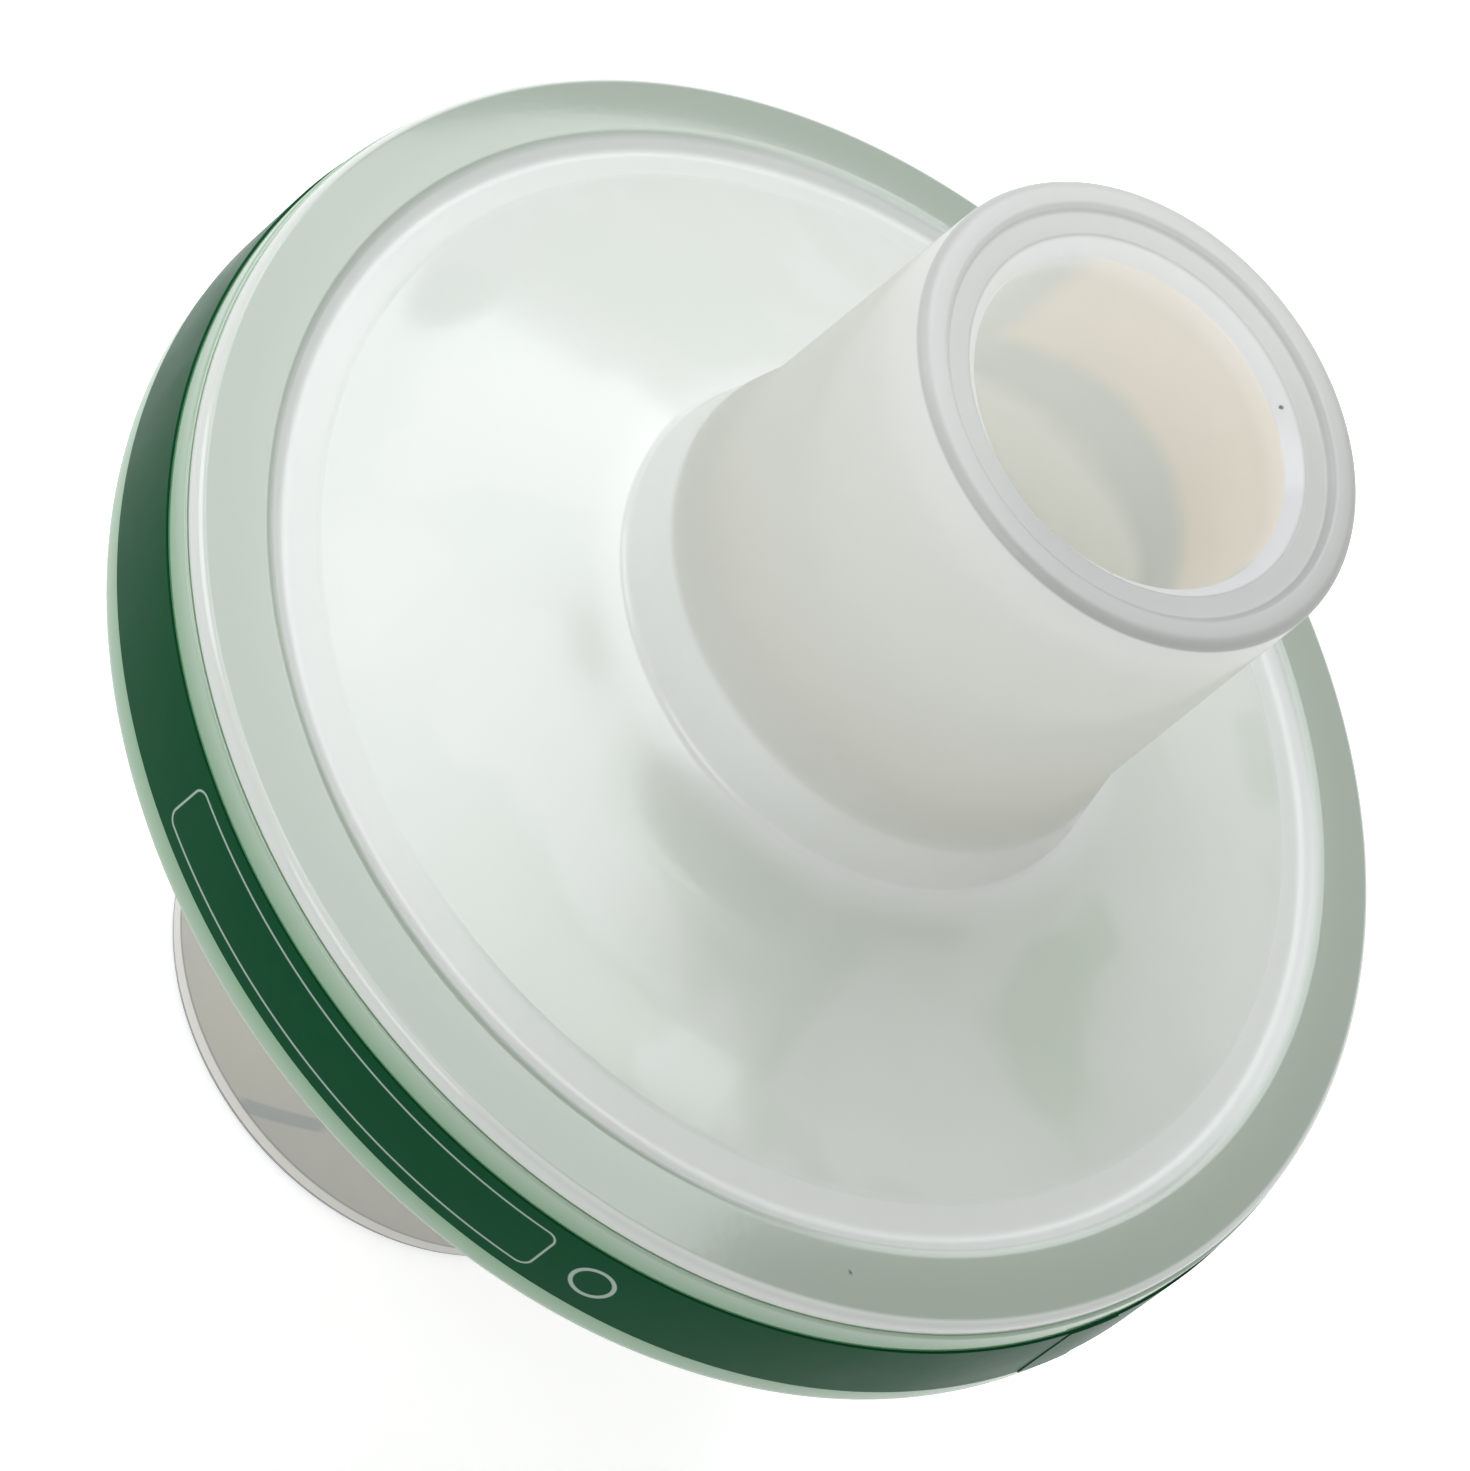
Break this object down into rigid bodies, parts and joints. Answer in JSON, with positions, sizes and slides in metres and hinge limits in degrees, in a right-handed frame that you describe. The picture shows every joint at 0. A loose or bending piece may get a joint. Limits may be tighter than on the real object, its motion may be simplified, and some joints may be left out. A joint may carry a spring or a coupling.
{
  "type": "breathing circuit filter",
  "caption": "Translucent round breathing filter with a heat and moisture exchanger, a conical tube on each side and a dark green band round its rim.",
  "frame": {"origin": "centre of the machine tube's end face, at the bottom", "axes": "+Z along the common axis of both tubes, towards the patient tube; the label's seam is 15 degrees from +X towards -Y"},
  "size_m": [0.0604, 0.0604, 0.0593],
  "materials": {
    "clear_housing": "milky translucent polypropylene, moulded gloss",
    "felt": "white needled felt",
    "pad": "off-white paper pad",
    "label": "dark green printed film, satin"
  },
  "bodies": {
    "root": {"patient_housing": "clear_housing", "machine_housing": "clear_housing", "filter_media": "felt", "hme_element": "pad", "label_band": "label"}
  },
  "joints": []
}
